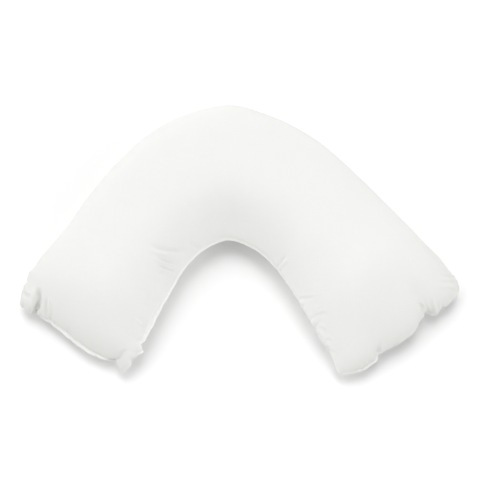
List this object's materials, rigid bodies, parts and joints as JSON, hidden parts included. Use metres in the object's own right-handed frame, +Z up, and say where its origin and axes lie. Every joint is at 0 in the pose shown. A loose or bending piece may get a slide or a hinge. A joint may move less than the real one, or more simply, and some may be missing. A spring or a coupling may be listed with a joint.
{
  "type": "v-shaped pillow",
  "caption": "Filled V-shaped support pillow in a plain white cotton cover, seamed all round with gathered corners, lying flat with its arms open.",
  "frame": {"origin": "under the middle of the pillow's box, on the surface that it lies on", "axes": "+X from the left arm's end to the right arm's end, +Y towards the point of the V, +Z up out of the surface"},
  "size_m": [0.9656, 0.6172, 0.1501],
  "materials": {
    "cover": "matt plain-woven white cotton"
  },
  "bodies": {
    "root": {"pillow": "cover"}
  },
  "joints": []
}
